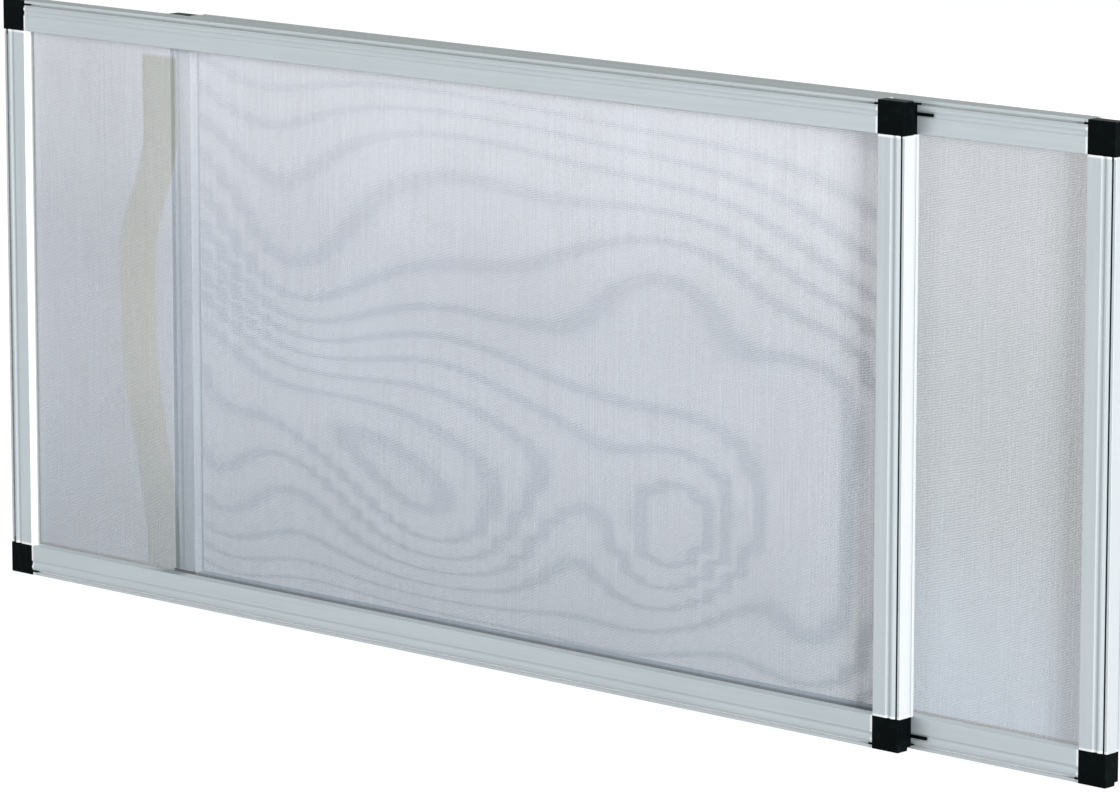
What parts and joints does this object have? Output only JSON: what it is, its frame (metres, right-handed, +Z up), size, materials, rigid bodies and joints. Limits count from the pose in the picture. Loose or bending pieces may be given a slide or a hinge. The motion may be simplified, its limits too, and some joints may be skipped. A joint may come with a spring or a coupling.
{
  "type": "window screen frame",
  "caption": "Extending insect screen: two satin aluminium frames with mesh panels and black corner blocks, one sliding behind the other to fit a window opening.",
  "frame": {"origin": "middle of the bottom edges of the two frames, at rest, on the surface that they stand on", "axes": "+X along the screen, towards the side to which the rear frame draws out; +Y from the front of the screen to its back; +Z up"},
  "size_m": [1.185, 0.0364, 0.5],
  "materials": {
    "satin_aluminium": "satin anodised",
    "black_plastic": "matt moulded",
    "insect_mesh": "woven coated glass fibre",
    "grey_spline": "soft matt"
  },
  "bodies": {
    "front_frame": {"front_top_rail": "satin_aluminium", "front_bottom_rail": "satin_aluminium", "front_left_stile": "satin_aluminium", "front_right_stile": "satin_aluminium", "front_upper_left_corner": "black_plastic", "front_upper_right_corner": "black_plastic", "front_lower_left_corner": "black_plastic", "front_lower_right_corner": "black_plastic", "front_mesh": "insect_mesh", "front_top_spline": "grey_spline", "front_bottom_spline": "grey_spline", "front_left_spline": "grey_spline", "front_right_spline": "grey_spline"},
    "rear_frame": {"rear_top_rail": "satin_aluminium", "rear_bottom_rail": "satin_aluminium", "rear_left_stile": "satin_aluminium", "rear_right_stile": "satin_aluminium", "rear_upper_left_corner": "black_plastic", "rear_upper_right_corner": "black_plastic", "rear_lower_left_corner": "black_plastic", "rear_lower_right_corner": "black_plastic", "rear_mesh": "insect_mesh", "rear_top_spline": "grey_spline", "rear_bottom_spline": "grey_spline", "rear_left_spline": "grey_spline", "rear_right_spline": "grey_spline"}
  },
  "joints": [
    {"name": "rear_frame_slide", "type": "slide", "parent": "front_frame", "child": "rear_frame", "axis": [1, 0, 0], "range_m": [-0.1455, 0.758]}
  ]
}
